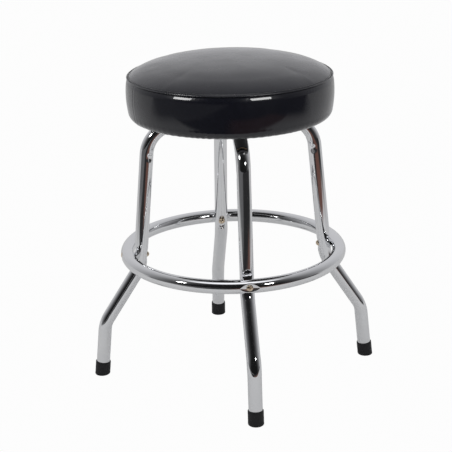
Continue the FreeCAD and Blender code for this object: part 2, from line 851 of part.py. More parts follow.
def make_upholstery():
    """Foam, vinyl panels, seam cord, staples and the cloth under the seat."""
    zero = as_size(0)
    skin = d.vinyl_thick
    corner_reach = d.seam_radius - d.corner_radius
    corner_top = d.seat_bottom + d.corner_radius
    half_side = (d.seam_height - corner_top) / 2
    inner_bulge = d.side_bulge - skin
    inner_seam = d.seam_radius - skin
    bulge_axis = inner_seam - root(inner_bulge * inner_bulge - half_side * half_side)
    above_board = board_top - corner_top - half_side
    foam_split = bulge_axis + root(inner_bulge * inner_bulge - above_board * above_board)
    shoulder_height = d.crown_height - d.shoulder_drop
    inner_shoulder = (d.shoulder_radius - skin * 0.2, shoulder_height - skin)
    crown_bend = cap_radius(d.shoulder_radius, d.shoulder_drop)
    inner_crown_bend = cap_radius(inner_shoulder[0], d.shoulder_drop)

    node("seat_foam", turned_part("foam_pad", [
        (zero, board_top),
        (foam_split, board_top, inner_bulge),
        (inner_seam, d.seam_height, d.shoulder_bend - skin),
        inner_shoulder + (inner_crown_bend,),
        (zero, d.crown_height - skin),
    ]))
    node("side_foam", turned_part("side_foam_ring", [
        (hoop_outside, lip_inside),
        (corner_reach, lip_inside, d.corner_radius - skin),
        (inner_seam, corner_top, inner_bulge),
        (foam_split, board_top),
        (hoop_outside, board_top),
    ]))
    node("cover_top", turned_part("top_panel", [
        (d.seam_radius, d.seam_height, d.shoulder_bend),
        (d.shoulder_radius, shoulder_height, crown_bend),
        (zero, d.crown_height),
        (zero, d.crown_height - skin, zero - inner_crown_bend),
        inner_shoulder + (skin - d.shoulder_bend,),
        (inner_seam, d.seam_height),
    ]))
    node("cover_band", turned_part("side_panel", [
        (d.board_radius - skin, d.seat_bottom),
        (corner_reach, d.seat_bottom, d.corner_radius),
        (d.seam_radius, corner_top, d.side_bulge),
        (d.seam_radius, d.seam_height),
        (inner_seam, d.seam_height, zero - inner_bulge),
        (inner_seam, corner_top, skin - d.corner_radius),
        (corner_reach, lip_inside),
        (d.board_radius, lip_inside),
        (d.board_radius, d.seat_bottom + d.wrap_height),
        (d.board_radius - skin, d.seat_bottom + d.wrap_height),
    ]))
    node("seat_piping", primitive(
        "Torus", "piping_cord", (0, 0, d.seam_height),
        Radius1=d.seam_radius + d.piping_radius + d.piping_gap, Radius2=d.piping_radius))

    staples = []
    staple_inside = d.board_radius - skin - d.staple_thick - d.staple_gap
    for i in range(STAPLE_COUNT):
        crown_bar = doc.addObject("Part::Box", "staple_%d" % i)
        bind(crown_bar, Length=d.staple_thick, Width=d.staple_width,
             Height=d.staple_height)
        start = Placement(Vector(staple_inside.number, -d.staple_width.number / 2,
                                 (d.seat_bottom + d.staple_rise).number), Rotation())
        crown_bar.Placement = quarter_turn(360.0 * i / STAPLE_COUNT).multiply(start)
        staples.append(crown_bar)
    group("cover_staples", staples)

    node("dust_cloth", turned_part("cloth_disc", ring_outline(
        d.cloth_inner, d.cloth_outer, swivel_top - d.cloth_thick, swivel_top)))


make_hub()
make_spindle()
make_height_nut()
make_lock()
make_swivel()
make_board()
make_upholstery()


# --- check and write -------------------------------------------------------------------

doc.recompute()
for item in doc.Objects:
    if "Invalid" in item.State or "Error" in item.State:
        raise RuntimeError("%s failed: %s" % (item.Name, item.State))

os.makedirs("parts", exist_ok=True)
for label, item in NODES.items():
    if item.Shape.isNull() or not item.Shape.isValid():
        raise RuntimeError("%s has no valid shape" % label)
    item.Shape.exportStep("parts/%s.step" % label)
    print("%-22s %d solid(s) %10.1f mm3" % (label, len(item.Shape.Solids), item.Shape.Volume))
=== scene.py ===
import bpy
import math
import numpy as np
from mathutils import Matrix, Vector, noise


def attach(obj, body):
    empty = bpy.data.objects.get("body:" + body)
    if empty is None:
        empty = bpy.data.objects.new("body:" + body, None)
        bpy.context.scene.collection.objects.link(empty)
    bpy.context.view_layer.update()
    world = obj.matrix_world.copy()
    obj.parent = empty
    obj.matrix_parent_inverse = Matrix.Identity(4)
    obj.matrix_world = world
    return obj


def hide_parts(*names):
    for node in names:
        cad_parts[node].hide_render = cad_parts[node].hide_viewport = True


# Looks of a round swivel stool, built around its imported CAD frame. Metres, +Z up. The
# legs stand on -Y (front), +X (right), +Y (rear) and -X (left).

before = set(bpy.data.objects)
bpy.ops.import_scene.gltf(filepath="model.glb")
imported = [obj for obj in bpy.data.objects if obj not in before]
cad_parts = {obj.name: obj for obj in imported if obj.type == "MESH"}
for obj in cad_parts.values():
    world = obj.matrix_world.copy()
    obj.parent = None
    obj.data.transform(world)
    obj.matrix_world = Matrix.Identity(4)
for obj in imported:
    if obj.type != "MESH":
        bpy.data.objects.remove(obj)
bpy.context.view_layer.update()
scene = bpy.context.scene

LEG_ANGLES = {"front": -90.0, "right": 0.0, "rear": 90.0, "left": 180.0}

# bent tube legs: corners of the centre line as (reach, height), before rounding
TUBE = 0.0127
BEND = 0.059
ARM_HEIGHT = 0.4894
SHOULDER = (0.1526, ARM_HEIGHT)
KNEE = (0.1784, 0.2159)
ANKLE = (0.2499, 0.1053)
FOOT_LEAN = math.radians(5.8)
FLOOR_REACH = ANKLE[0] + ANKLE[1] * math.tan(FOOT_LEAN)
HUB_FACE = 0.0265
TIP_FLOOR = 0.004
TIP_HEIGHT = 0.027
TIP_WALL = 0.0016
TIP_EDGE = 0.0026

# footrest ring and its fixings
RING = 0.2009
RING_HEIGHT = 0.2403
HEAD_RADIUS = 0.0060
NUT_RADIUS = 0.0060

# seat
SEAM_RADIUS = 0.1880
SEAM_HEIGHT = 0.5785
SEAT_BOTTOM = 0.501
CORNER = 0.016
SIDE_BULGE = 0.175
SHOULDER_RADIUS = 0.150
SHOULDER_HEIGHT = 0.5985
SHOULDER_BEND = 0.083
CROWN_HEIGHT = 0.6135
WRAP_RADIUS = 0.1668
WRAP_HEIGHT = 0.019
VINYL = 0.0012


# --- camera ----------------------------------------------------------------------------

CAMERA_DISTANCE = 2.2913      # level distance from the swivel axis
CAMERA_HEIGHT = 1.0649
CAMERA_TURN = math.radians(7.59)      # how far left of the front leg the camera stands
CAMERA_HEADING = math.radians(7.27)   # where it looks, measured from +Y towards +X
CAMERA_PITCH = math.radians(18.79)
CAMERA_ROLL = math.radians(-1.25)
CAMERA_LENS = 101.64          # millimetres, as is the sensor
CAMERA_SENSOR = 36.0
TOWARDS_CAMERA = (-math.sin(CAMERA_TURN), -math.cos(CAMERA_TURN))


def add_camera():
    """The photo's camera, which looks a little down at the stool and is rolled slightly."""
    forward = Vector((math.sin(CAMERA_HEADING) * math.cos(CAMERA_PITCH),
                      math.cos(CAMERA_HEADING) * math.cos(CAMERA_PITCH),
                      -math.sin(CAMERA_PITCH)))
    level = forward.cross(Vector((0, 0, 1))).normalized()
    upright = level.cross(forward)
    right = level * math.cos(CAMERA_ROLL) + upright * math.sin(CAMERA_ROLL)
    up = upright * math.cos(CAMERA_ROLL) - level * math.sin(CAMERA_ROLL)
    data = bpy.data.cameras.new("camera")
    data.lens = CAMERA_LENS
    data.sensor_width = CAMERA_SENSOR
    camera = bpy.data.objects.new("camera", data)
    turn = Matrix((right, up, -forward)).transposed().to_4x4()
    turn.translation = (CAMERA_DISTANCE * TOWARDS_CAMERA[0],
                        CAMERA_DISTANCE * TOWARDS_CAMERA[1], CAMERA_HEIGHT)
    camera.matrix_world = turn
    scene.collection.objects.link(camera)
    scene.camera = camera


# --- node trees ------------------------------------------------------------------------

class Tree:
    """Short calls that add linked nodes to a material's or a world's node tree."""

    def __init__(self, owner):
        owner.use_nodes = True
        self.nodes = owner.node_tree.nodes
        self.links = owner.node_tree.links

    def feed(self, socket, value):
        """Links value to the socket if it is another node's output, or else sets it."""
        if isinstance(value, bpy.types.NodeSocket):
            self.links.new(value, socket)
        elif isinstance(value, tuple) and len(value) == 3 and socket.type == "RGBA":
            socket.default_value = (*value, 1.0)
        else:
            socket.default_value = value

    def add(self, kind, *values, **settings):
        """Adds a shader node with its settings and feeds values to its first sockets."""
        node = self.nodes.new("ShaderNode" + kind)
        for name, value in settings.items():
            setattr(node, name, value)
        for i, value in enumerate(values):
            if value is not None:
                self.feed(node.inputs[i], value)
        return node

    def math(self, operation, *values):
        return self.add("Math", *values, operation=operation).outputs[0]

    def step(self, value, start, end, low=0.0, high=1.0):
        """Smooth step of value: low at start, high at end."""
        return self.add("MapRange", value, start, end, low, high,
                        interpolation_type="SMOOTHSTEP").outputs[0]

    def mix(self, factor, first, second):
        """Colour between first and second."""
        node = self.add("Mix", data_type="RGBA")
        for socket, value in ((0, factor), (6, first), (7, second)):
            self.feed(node.inputs[socket], value)
        return node.outputs[2]

    def towards_camera(self, x, y):
        """How far a point or direction reaches from the stool towards the photo's camera."""
        return self.math("ADD", self.math("MULTIPLY", x, TOWARDS_CAMERA[0]),
                         self.math("MULTIPLY", y, TOWARDS_CAMERA[1]))

    def place(self, stretch=(1.0, 1.0, 1.0)):
        """The point on the object, in metres, stretched for grain along one direction."""
        point = self.add("TexCoord").outputs["Object"]
        node = self.add("Mapping", point)
        node.inputs["Scale"].default_value = stretch
        return node.outputs[0]

    def noise(self, size, detail=3.0, rough=0.5, stretch=(1.0, 1.0, 1.0)):
        """Noise from 0 to 1 whose blobs are about size metres across."""
        node = self.add("TexNoise")
        self.feed(node.inputs["Vector"], self.place(stretch))
        node.inputs["Scale"].default_value = 1.0 / size
        node.inputs["Detail"].default_value = detail
        node.inputs["Roughness"].default_value = rough
        return node.outputs[0]

    def cells(self, size):
        """Distance to the nearest of scattered points, in cells about size metres across."""
        node = self.add("TexVoronoi")
        self.feed(node.inputs["Vector"], self.place())
        node.inputs["Scale"].default_value = 1.0 / size
        return node.outputs["Distance"]

    def bump(self, height, depth, under=None):
        """Normal for a height of 0 to 1 that stands depth metres tall."""
        node = self.add("Bump")
        node.inputs["Strength"].default_value = 1.0
        node.inputs["Distance"].default_value = depth
        self.feed(node.inputs["Height"], height)
        if under is not None:
            self.feed(node.inputs["Normal"], under)
        return node.outputs[0]


def new_material(name, **sockets):
    """A Principled material with the given sockets set, and the tree to add nodes to."""
    material = bpy.data.materials.new(name)
    tree = Tree(material)
    shader = tree.nodes["Principled BSDF"]
    for socket, value in sockets.items():
        tree.feed(shader.inputs[socket.replace("_", " ")], value)
    return material, tree, shader.inputs


# --- studio ----------------------------------------------------------------------------

# the floor that every ray but the camera's sees; each pair of numbers is a soft edge, in
# metres from the stool: towards the camera, away from the middle, or across to the right
PAPER_FRONT = (0.72, 0.90)
PAPER_ROUND = (1.0, 2.1)
PAPER_BACK = (-0.30, 0.40)
BROWN_LEFT = (-0.20, 0.15)
BROWN_RIGHT = (1.7, 1.2)
BROWN_FRONT = (1.9, 1.3)
CLOTH_LEFT = (-0.7, -1.2)
CLOTH_ROUND = (1.3, 1.7)
PAPER = (0.66, 0.66, 0.665)
DARK_BOARDS = (0.012, 0.012, 0.013)
BROWN_BOARDS = (0.14, 0.055, 0.038)
GREY_CLOTH = (0.13, 0.13, 0.135)
FLOOR_HALF = 30.0
CAMERA_WHITE = (0.98, 0.98, 0.98)    # floor and background as the camera sees them
ROOM_WHITE = (0.80, 0.80, 0.80)      # the even light that falls on dull surfaces
# the room that only reflections see: brightness, and soft edges in the direction looked at
ROOM_PALE, ROOM_DARK = 0.60, 0.01
ROOM_TURN = (-1.05, 0.8)             # from behind the stool round to the camera
ROOM_BLUE = 1.03                     # how much bluer the room is than grey
CEILING = 0.10
CEILING_FRONT = (0.35, -0.05)
LAMP_CLIMB = (0.84, 0.92)
LAMP_BACK = (-0.10, 0.15)
SOFTBOX_DISTANCE = 2.2
# which pieces each lights, degrees from the camera, degrees up, (width, height), watts
SOFTBOXES = (
    ("seat", -54.0, 35.0, (0.66, 0.60), 16.0),
    ("seat", 34.0, 35.0, (0.74, 0.60), 18.0),
    ("tubes", -55.0, 31.5, (0.30, 0.26), 3.0),
    ("tubes", 35.0, 26.0, (0.30, 0.24), 3.0),
)


def add_world():
    """Even light for dull surfaces. Reflections see a room that is pale behind the stool,
    dark behind the camera and has one lamp overhead. The camera sees plain white."""
    world = bpy.data.worlds.new("studio")
    tree = Tree(world)
    x, y, z = tree.add("SeparateXYZ", tree.add("TexCoord").outputs["Generated"]).outputs
    towards = tree.towards_camera(x, y)
    overhead = tree.math("MULTIPLY", tree.math("MULTIPLY", z, z),
                         tree.step(towards, *CEILING_FRONT, 0.0, CEILING))
    lamp = tree.math("MULTIPLY", tree.step(z, *LAMP_CLIMB), tree.step(towards, *LAMP_BACK))
    pale = tree.math("ADD", tree.step(towards, *ROOM_TURN, ROOM_PALE, ROOM_DARK), overhead)
    pale = tree.math("ADD", pale, lamp)
    room = tree.add("CombineColor", pale, pale, tree.math("MULTIPLY", pale, ROOM_BLUE)).outputs[0]
    path = tree.add("LightPath").outputs
    seen = tree.mix(path["Is Glossy Ray"], ROOM_WHITE, room)
    seen = tree.mix(path["Is Camera Ray"], seen, CAMERA_WHITE)
    tree.feed(tree.nodes["Background"].inputs[0], seen)
    scene.world = world


def add_floor():
    """A wide floor that the camera sees as plain white. All other rays see pale paper under
    the stool, and in front of it and to its sides dark boards, a brown patch and a grey
    cloth, so reflections and bounced light are not those of a plain floor."""
    material, tree, sockets = new_material("floor_paper", Roughness=0.9)
    x, y, _ = tree.add("SeparateXYZ", tree.place()).outputs
    towards = tree.towards_camera(x, y)
    across = tree.math("SUBTRACT", tree.math("MULTIPLY", y, TOWARDS_CAMERA[0]),
                       tree.math("MULTIPLY", x, TOWARDS_CAMERA[1]))
    radius = tree.add("VectorMath", tree.place(), operation="LENGTH").outputs["Value"]
    ahead = tree.step(towards, *PAPER_FRONT)
    aside = tree.math("MULTIPLY", tree.step(radius, *PAPER_ROUND), tree.step(towards, *PAPER_BACK))
    bare = tree.math("MAXIMUM", ahead, aside)
    wood = tree.math("MULTIPLY", tree.step(across, *BROWN_LEFT), tree.step(across, *BROWN_RIGHT))
    wood = tree.math("MULTIPLY", wood, tree.step(towards, *BROWN_FRONT))
    boards = tree.mix(wood, DARK_BOARDS, BROWN_BOARDS)
    cloth = tree.math("MULTIPLY", tree.step(across, *CLOTH_LEFT), tree.step(radius, *CLOTH_ROUND))
    boards = tree.mix(cloth, boards, GREY_CLOTH)
    tree.feed(sockets["Base Color"], tree.mix(bare, PAPER, boards))
    paper = tree.nodes["Principled BSDF"].outputs[0]
    white = tree.add("Emission", CAMERA_WHITE).outputs[0]
    camera_ray = tree.add("LightPath").outputs["Is Camera Ray"]
    shown = tree.add("MixShader", camera_ray, paper, white).outputs[0]
    tree.feed(tree.nodes["Material Output"].inputs[0], shown)
    corners = [(FLOOR_HALF * i, FLOOR_HALF * j, 0)
               for i, j in ((-1, -1), (1, -1), (1, 1), (-1, 1))]
    mesh = bpy.data.meshes.new("floor")
    mesh.from_pydata(corners, [], [(0, 1, 2, 3)])
    mesh.materials.append(material)
    floor = bpy.data.objects.new("floor", mesh)
    scene.collection.objects.link(floor)


def add_softboxes():
    """Two soft boxes for the seat and two smaller ones for the tubes."""
    for kind in ("seat", "tubes"):
        bpy.data.collections.new("lit_" + kind)
    for i, (kind, turn, climb, size, watts) in enumerate(SOFTBOXES):
        data = bpy.data.lights.new("softbox_%d" % i, "AREA")
        data.shape = "RECTANGLE"
        data.size, data.size_y = size
        data.energy = watts
        angle = math.atan2(TOWARDS_CAMERA[1], TOWARDS_CAMERA[0]) + math.radians(turn)
        level = math.cos(math.radians(climb))
        away = Vector((math.cos(angle) * level, math.sin(angle) * level,
                       math.sin(math.radians(climb))))
        box = bpy.data.objects.new("softbox_%d" % i, data)
        box.rotation_mode = "QUATERNION"
        box.rotation_quaternion = away.to_track_quat("Z", "Y")
        box.location = away * SOFTBOX_DISTANCE + Vector((0, 0, RING_HEIGHT))
        scene.collection.objects.link(box)
        box.light_linking.receiver_collection = bpy.data.collections["lit_" + kind]


def share_lights():
    """Puts each mesh in the group of the soft boxes that light it: names that start with
    seat or seam belong to the seat, and everything else goes with the tubes."""
    for piece in [p for p in scene.objects if p.type == "MESH"]:
        kind = "seat" if piece.name.startswith(("seat", "seam")) else "tubes"
        bpy.data.collections["lit_" + kind].objects.link(piece)


add_camera()
scene.view_settings.view_transform = "Standard"
add_world()
add_floor()
add_softboxes()


# --- materials -------------------------------------------------------------------------

def chrome():
    """Bright plated tube: a clear mirror with faint haze, polishing lines and a few pits."""
    material, tree, sockets = new_material("chrome", Metallic=1.0)
    haze = tree.noise(0.05, 4.0)
    tint = tree.mix(haze, (0.80, 0.81, 0.83), (0.88, 0.885, 0.89))
    tree.feed(sockets["Base Color"], tint)
    tree.feed(sockets["Roughness"], tree.step(haze, 0.3, 0.75, 0.035, 0.085))
    lines = tree.noise(0.0016, 2.0, 0.6, (1.0, 1.0, 0.06))
    pits = tree.step(tree.cells(0.030), 0.02, 0.01)
    normal = tree.bump(lines, 0.0000015)
    tree.feed(sockets["Normal"], tree.bump(pits, -0.00001, normal))
    return material


def plated(name, color, dark, rough=0.22):
    """Zinc or nickel plated small steel: soft shine with cloudy tint and fine tool marks."""
    material, tree, sockets = new_material(name, Metallic=1.0)
    cloud = tree.noise(0.004, 4.0)
    tree.feed(sockets["Base Color"], tree.mix(cloud, dark, color))
    tree.feed(sockets["Roughness"], tree.step(cloud, 0.3, 0.7, rough + 0.08, rough - 0.06))
    tree.feed(sockets["Normal"], tree.bump(tree.noise(0.0006, 3.0), 0.00002))
    return material


def rubber():
    """Moulded black rubber: dull, slightly dusty, with a fine matt texture."""
    material, tree, sockets = new_material("rubber", Specular_IOR_Level=0.25)
    dust = tree.noise(0.012, 5.0, 0.6)
    tree.feed(sockets["Base Color"], tree.mix(dust, (0.006, 0.006, 0.007), (0.020, 0.020, 0.022)))
    tree.feed(sockets["Roughness"], tree.step(dust, 0.3, 0.7, 0.42, 0.62))
    tree.feed(sockets["Normal"], tree.bump(tree.noise(0.0007, 3.0), 0.00008))
    return material


def vinyl():
    """Glossy black coated cloth with a fine embossed grain and a soft cloudy sheen."""
    material, tree, sockets = new_material("vinyl", Coat_Weight=1.0, Coat_Roughness=0.06,
                                           Specular_IOR_Level=0.12)
    cloud = tree.noise(0.055, 3.0, 0.45)
    wear = tree.noise(0.006, 4.0)
    tree.feed(sockets["Base Color"], tree.mix(wear, (0.0030, 0.0032, 0.0052),
                                              (0.0060, 0.0064, 0.0105)))
    tree.feed(sockets["Roughness"], tree.step(cloud, 0.25, 0.75, 0.24, 0.40))
    grain = tree.math("MULTIPLY", tree.cells(0.0011), tree.noise(0.0004, 2.0))
    swell = tree.bump(cloud, 0.0004)
    tree.feed(sockets["Normal"], tree.bump(grain, 0.000035, swell))
    tree.feed(sockets["Coat Normal"], tree.bump(tree.noise(0.0016, 2.0), 0.00001, swell))
    return material


def thread():
    """Black sewing thread with a fine twist."""
    material, tree, sockets = new_material("thread", Sheen_Weight=0.3)
    twist = tree.noise(0.0006, 2.0)
    tree.feed(sockets["Base Color"], tree.mix(twist, (0.006, 0.006, 0.007), (0.03, 0.03, 0.032)))
    tree.feed(sockets["Roughness"], tree.step(twist, 0.2, 0.8, 0.5, 0.75))
    tree.feed(sockets["Normal"], tree.bump(twist, 0.0001))
    return material


def woven(name, light, dark):
    """Thin black non-woven cloth: felted fibres with a pinned texture."""
    material, tree, sockets = new_material(name, Sheen_Weight=0.25)
    fibres = tree.noise(0.0025, 6.0, 0.75)
    tree.feed(sockets["Base Color"], tree.mix(fibres, dark, light))
    tree.feed(sockets["Roughness"], tree.step(fibres, 0.2, 0.8, 0.75, 0.95))
    pins = tree.cells(0.0018)
    tree.feed(sockets["Normal"], tree.bump(pins, 0.00025, tree.bump(fibres, 0.0003)))
    return material


def painted():
    """Black enamel on steel with orange peel and worn, paler patches."""
    material, tree, sockets = new_material("enamel", Coat_Weight=0.3, Coat_Roughness=0.15)
    wear = tree.noise(0.009, 6.0, 0.65)
    tree.feed(sockets["Base Color"], tree.mix(tree.step(wear, 0.62, 0.78), (0.02, 0.02, 0.022),
                                              (0.09, 0.088, 0.085)))
    tree.feed(sockets["Roughness"], tree.step(wear, 0.3, 0.8, 0.28, 0.5))
    tree.feed(sockets["Normal"], tree.bump(tree.noise(0.0015, 2.0), 0.00006))
    return material


def nylon():
    """Moulded black nylon with a spark-eroded matt skin."""
    material, tree, sockets = new_material("nylon", Specular_IOR_Level=0.45)
    cloud = tree.noise(0.008, 4.0)
    tree.feed(sockets["Base Color"], tree.mix(cloud, (0.02, 0.02, 0.022), (0.04, 0.04, 0.043)))
    tree.feed(sockets["Roughness"], tree.step(cloud, 0.3, 0.7, 0.38, 0.52))
    tree.feed(sockets["Normal"], tree.bump(tree.cells(0.0006), 0.00006))
    return material


def plywood():
    """Raw birch plywood: long faint grain, growth bands and dark flecks."""
    material, tree, sockets = new_material("birch_ply", Specular_IOR_Level=0.3)
    bands = tree.noise(0.012, 4.0, 0.6, (0.12, 1.0, 1.0))
    flecks = tree.step(tree.noise(0.0018, 3.0, 0.6, (0.08, 1.0, 1.0)), 0.60, 0.72)
    wood = tree.mix(bands, (0.46, 0.30, 0.16), (0.68, 0.50, 0.31))
    tree.feed(sockets["Base Color"], tree.mix(flecks, wood, (0.25, 0.14, 0.07)))
    tree.feed(sockets["Roughness"], tree.step(bands, 0.2, 0.8, 0.62, 0.8))
    tree.feed(sockets["Normal"], tree.bump(flecks, -0.0001))
    return material


CHROME = chrome()
RUBBER = rubber()
NICKEL = plated("brass_nickel", (0.95, 0.84, 0.66), (0.60, 0.44, 0.30), 0.24)
ZINC = plated("zinc_steel", (0.66, 0.66, 0.64), (0.46, 0.46, 0.46), 0.34)
ALLOY = plated("cast_alloy", (0.68, 0.68, 0.69), (0.52, 0.52, 0.53), 0.38)
BEARING = plated("bearing_steel", (0.78, 0.78, 0.79), (0.6, 0.6, 0.61), 0.14)
BLACK_VINYL = vinyl()
THREAD = thread()
CLOTH = woven("dust_felt", (0.035, 0.035, 0.036), (0.008, 0.008, 0.009))
ENAMEL = painted()
NYLON = nylon()
PLY = plywood()

SHOWN_NODES = {
    "hub_tube": ENAMEL, "hub_plate_lower": ENAMEL, "hub_plate_upper": ENAMEL,
    "hub_bolts": ZINC, "hub_nuts": ZINC, "guide_bush": NYLON, "thrust_washer": NYLON,
    "height_nut": ALLOY, "spindle": BEARING, "retaining_ring": ZINC,
    "swivel_lower_plate": ZINC, "swivel_upper_plate": ZINC, "ball_cage": NYLON,
    "bearing_balls": BEARING, "lock_screw": ZINC, "lock_knob": NYLON,
    "swivel_screws": ZINC, "tee_nuts": ZINC, "seat_board": PLY, "seat_hoop": ENAMEL,
    "cover_staples": ZINC, "dust_cloth": CLOTH,
}
for node_name, finish in SHOWN_NODES.items():
    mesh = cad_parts[node_name].data
    mesh.materials.clear()
    mesh.materials.append(finish)


# --- mesh helpers ----------------------------------------------------------------------

def unit(vector):
    """The vector at length 1."""
    return vector / np.linalg.norm(vector)


def turned(points, angle):
    """points turned about the swivel axis by angle in degrees."""
    a = math.radians(angle)
    x, y = points[..., 0], points[..., 1]
    return np.stack((x * math.cos(a) - y * math.sin(a), x * math.sin(a) + y * math.cos(a),
                     points[..., 2]), -1)


def grid_faces(rows, columns, closed_rows=False, closed_columns=True, start=0):
    """Four-sided faces of a grid of points, wound so that their normals face out."""
    faces = []
    for i in range(rows if closed_rows else rows - 1):
        for j in range(columns if closed_columns else columns - 1):
            k, m = (i + 1) % rows, (j + 1) % columns
            faces.append([start + v for v in (i * columns + j, i * columns + m,
                                              k * columns + m, k * columns + j)])
    return faces


def add_piece(name, points, faces, material, body, stands_for=(), crease=None):
    """A smooth mesh that rides on a CAD body and stands for some of its nodes."""
    mesh = bpy.data.meshes.new(name)
    mesh.from_pydata(np.asarray(points).reshape(-1, 3).tolist(), [], faces)
    mesh.polygons.foreach_set("use_smooth", [True] * len(mesh.polygons))
    if crease is not None:
        mesh.set_sharp_from_angle(angle=math.radians(crease))
    mesh.materials.append(material)
    piece = bpy.data.objects.new(name, mesh)
    scene.collection.objects.link(piece)
    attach(piece, body)
    if stands_for:
        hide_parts(*stands_for)
    return piece


def capped(points, start=0):
    """Faces of a tube of rings, closed by a flat face at each end."""
    rows, columns = points.shape[:2]
    faces = grid_faces(rows, columns, start=start)
    faces.append([start + j for j in reversed(range(columns))])
    faces.append([start + (rows - 1) * columns + j for j in range(columns)])
    return faces


def lathe(outline, columns, centre=(0.0, 0.0, 0.0), axis=(0.0, 0.0, 1.0)):
    """Rings of points: each (radius, height) of the outline turned about an axis."""
    up = unit(np.array(axis, float))
    side = unit(np.cross(up, (0.0, 1.0, 0.0) if abs(up[1]) < 0.9 else (1.0, 0.0, 0.0)))
    front = np.cross(up, side)
    turn = np.linspace(0, 2 * math.pi, columns, endpoint=False)
    spokes = np.cos(turn)[:, None] * side + np.sin(turn)[:, None] * front
    outline = np.array(outline, float)
    return (np.array(centre) + outline[:, 0, None, None] * spokes[None]
            + outline[:, 1, None, None] * up)


def arc(start, end, radius, count):
    """Points from start to end along an arc that bulges to the left of the way there."""
    start, end = np.array(start, float), np.array(end, float)
    half = np.linalg.norm(end - start) / 2
    along = (end - start) / (2 * half)
    left = np.array((-along[1], along[0]))
    centre = (start + end) / 2 - left * math.sqrt(radius * radius - half * half)
    spread = math.asin(half / radius)
    swing = np.linspace(-spread, spread, count)
    return centre + radius * (np.sin(swing)[:, None] * along + np.cos(swing)[:, None] * left)


def bent_line(corners, bend, step):
    """Points and headings of straight runs through corners, joined by arcs of radius bend,
    and how far into a bend each point is, from 0 to 1."""
    corners = [np.array(c) for c in corners]
    headings = [math.atan2(*(b - a)[::-1]) for a, b in zip(corners, corners[1:])]
    points, turns, bends = [], [], []
    here = corners[0]
    for i, heading in enumerate(headings):
        along = np.array((math.cos(heading), math.sin(heading)))
        last = i == len(headings) - 1
        change = 0.0 if last else headings[i + 1] - heading
        stop = corners[i + 1] - along * bend * math.tan(abs(change) / 2)
        count = max(2, round(np.linalg.norm(stop - here) / step))
        for t in np.arange(count) / count:
            points.append(here + (stop - here) * t)
            turns.append(heading)
            bends.append(0.0)
        if last:
            points.append(stop)
            turns.append(heading)
            bends.append(0.0)
            break
        side = np.array((-along[1], along[0])) * math.copysign(bend, change)
        count = max(4, round(abs(change) * bend / step))
        for t in np.arange(count) / count:
            a = change * t
            spin = np.array(((math.cos(a), -math.sin(a)), (math.sin(a), math.cos(a))))
            points.append(stop + side - spin @ side)
            turns.append(heading + a)
            bends.append(math.sin(math.pi * t))
        spin = np.array(((math.cos(change), -math.sin(change)),
                         (math.sin(change), math.cos(change))))
        here = stop + side - spin @ side
    return np.array(points), np.array(turns), np.array(bends)


def flattened(across, out, half_width, hollow, radius=TUBE):
    """Presses the side of a round tube in: inside half_width on either side of the middle,
    its outward reach drops to the chord there and a further hollow below that."""
    width = np.clip(half_width, 1e-6, radius * 0.95)
    chord = np.sqrt(radius * radius - width * width)
    share = np.clip(across / width, -1, 1)
    floor = chord - hollow * (1 - share * share)
    pressed = (np.abs(across) < width) & (out > 0) & (half_width > 0)
    return np.where(pressed, np.minimum(out, floor), out)


def lens(along, half_length, half_width, power=1.0):
    """Half width of a pressed mark at a distance along the tube: pointed ends at power 1."""
    share = np.clip(1 - (along / half_length) ** 2, 0, None)
    return half_width * share ** power


# --- legs, tips, ring ------------------------------------------------------------------

AROUND = 72                  # points round a leg or a tip
LEG_STEP = 0.0032            # spacing of the rings of points on a straight run
BEND_STEP = 0.0016
SADDLE_STEP = 0.0007
PINCH_STEP = 0.0010
SADDLE_RISE = 0.013          # middle of the pressed saddle, above the ring's centre
SADDLE_LENGTH = 0.012
SADDLE_WIDTH = 0.0088
SADDLE_HOLLOW = 0.0005
SADDLE_CRUMPLE = 0.00014     # depth of the small creases in the pressed saddle
CRUMPLE_SIZE = 0.0042
BEND_FLATTENING = 0.035      # share of the radius that a bend loses towards its outside
BEND_WIDENING = 0.02
NUT_MARK_LENGTH = 0.0135
NUT_MARK_WIDTH = 0.0063
NUT_MARK_HOLLOW = 0.0024
PINCH_ANGLE = math.radians(117)      # from the outer face, where the bending tool pinched
PINCH_DROP = 0.006                   # below the end of the shoulder bend
PINCH_SIZE = 0.0080
PINCH_STRETCH = 1.25                 # how much longer than wide a pinch mark is
PINCH_DEPTH = 0.0010


def smooth_noise(point, size, seed):
    """Smooth noise from -1 to 1 with blobs of about size metres."""
    shift = Vector((seed * 3.7, seed * 1.3, seed * 7.1))
    return noise.noise(Vector(point) / size + shift)


